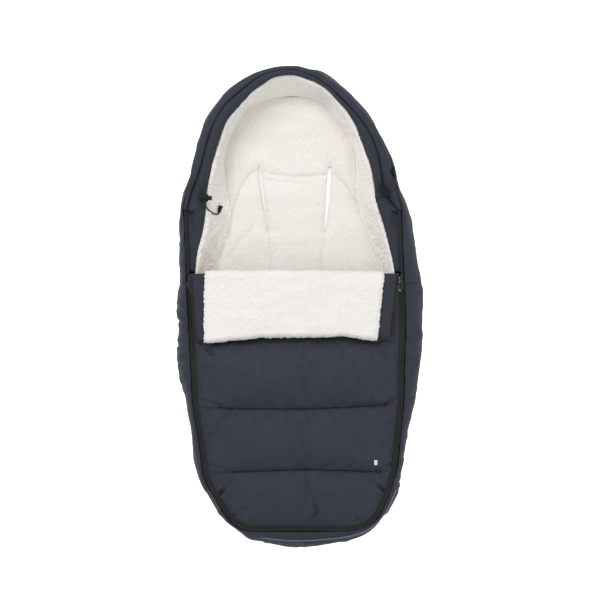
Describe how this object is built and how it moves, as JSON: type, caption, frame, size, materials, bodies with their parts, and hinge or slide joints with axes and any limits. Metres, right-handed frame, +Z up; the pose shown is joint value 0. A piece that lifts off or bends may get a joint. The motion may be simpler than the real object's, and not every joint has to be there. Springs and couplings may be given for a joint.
{
  "type": "stroller footmuff",
  "caption": "Quilted footmuff lying on its back, fleece lined, with a zipped cover whose cuff is folded down, harness slots and a drawcord hood",
  "frame": {"origin": "middle of the bounding box, at the ground the muff lies on", "axes": "+Z up from the ground through the open front, +Y towards the head end, +X towards the right seen from above"},
  "size_m": [0.496, 0.9602, 0.1193],
  "materials": {
    "navy_shell": "woven polyester, slightly shiny",
    "navy_lining": "smooth woven polyester",
    "fleece": "sherpa pile",
    "wadding": "soft polyester wadding",
    "zip_tape": "woven tape",
    "zip_coil": "nylon coil",
    "dark_metal": "dark coated",
    "dark_plastic": "moulded, fine texture",
    "cord": "braided",
    "spring_steel": "drawn wire",
    "pale_piping": "grey reflective trim",
    "white_tag": "satin"
  },
  "bodies": {
    "sack": {"back_lining": "fleece", "back_padding": "wadding", "back_shell_centre": "navy_shell", "back_shell_foot": "navy_shell", "back_shell_head": "navy_shell", "back_shell_left": "navy_shell", "back_shell_right": "navy_shell", "centre_back_lining": "fleece", "cord_end_left": "dark_plastic", "cord_end_right": "dark_plastic", "drawcord": "cord", "drawcord_channel": "navy_lining", "eyelet_left": "dark_metal", "eyelet_right": "dark_metal", "facing_left": "navy_lining", "facing_right": "navy_lining", "free_cord_left": "cord", "free_cord_right": "cord", "hood_band": "navy_shell", "hood_lining": "fleece", "leg_lining": "fleece", "lower_gusset": "navy_shell", "lower_wall_padding": "wadding", "reflective_piping": "pale_piping", "sack_zip_coil": "zip_coil", "sack_zip_tape": "zip_tape", "slot_binding_left": "navy_shell", "slot_binding_right": "navy_shell", "upper_gusset": "navy_shell", "upper_wall_padding": "wadding", "zip_stop_left": "dark_metal", "zip_stop_right": "dark_metal"},
    "cover": {"cover_shell": "navy_shell", "cover_padding": "wadding", "cover_lining": "fleece", "cover_zip_tape": "zip_tape", "cover_zip_coil": "zip_coil", "label_tag": "white_tag"},
    "cuff": {"cuff_shell": "navy_shell", "cuff_padding": "wadding", "cuff_lining": "fleece", "cuff_facing_left": "navy_lining", "cuff_facing_right": "navy_lining", "cuff_zip_tape_left": "zip_tape", "cuff_zip_tape_right": "zip_tape"},
    "slider_left": {"zip_slider_left": "dark_metal"},
    "slider_right": {"zip_slider_right": "dark_metal"},
    "tab_left": {"pull_tab_left": "dark_metal"},
    "tab_right": {"pull_tab_right": "dark_metal"},
    "lock_left": {"cord_lock_left": "dark_plastic", "lock_spring_left": "spring_steel"},
    "lock_right": {"cord_lock_right": "dark_plastic", "lock_spring_right": "spring_steel"},
    "button_left": {"lock_button_left": "dark_plastic"},
    "button_right": {"lock_button_right": "dark_plastic"}
  },
  "joints": [
    {"name": "cover_open", "type": "hinge", "parent": "sack", "child": "cover", "pos_m": [0, -0.44025, 0.072], "axis": [1, 0, 0], "range_deg": [0, 120]},
    {"name": "cuff_unfold", "type": "hinge", "parent": "cover", "child": "cuff", "pos_m": [0, 0.06192, 0.103], "axis": [-1, 0, 0], "range_deg": [0, 170]},
    {"name": "slider_left_slide", "type": "slide", "parent": "sack", "child": "slider_left", "axis": [-0.0449, 0.999, 0], "range_m": [0, 0.1294]},
    {"name": "tab_left_flip", "type": "hinge", "parent": "slider_left", "child": "tab_left", "pos_m": [-0.2191, 0.044, 0.08855], "axis": [0.999, 0.045, 0], "range_deg": [0, 170]},
    {"name": "slider_right_slide", "type": "slide", "parent": "sack", "child": "slider_right", "axis": [-0.0386, 0.9993, 0], "range_m": [0, 0.1293]},
    {"name": "tab_right_flip", "type": "hinge", "parent": "slider_right", "child": "tab_right", "pos_m": [0.20178, 0.044, 0.08855], "axis": [0.9993, 0.0385, 0], "range_deg": [0, 170]},
    {"name": "lock_left_slide", "type": "slide", "parent": "sack", "child": "lock_left", "axis": [0, 1, 0], "range_m": [0, 0.006]},
    {"name": "button_left_press", "type": "slide", "parent": "lock_left", "child": "button_left", "axis": [-1, 0, 0], "range_m": [0, 0.004], "stiffness_N_per_m": 500, "springref_m": -0.004, "deforming": ["lock_spring_left"]},
    {"name": "lock_right_slide", "type": "slide", "parent": "sack", "child": "lock_right", "axis": [0.866, 0.5, 0], "range_m": [0, 0.006]},
    {"name": "button_right_press", "type": "slide", "parent": "lock_right", "child": "button_right", "axis": [0.5, -0.866, 0], "range_m": [0, 0.004], "stiffness_N_per_m": 500, "springref_m": -0.004, "deforming": ["lock_spring_right"]}
  ]
}
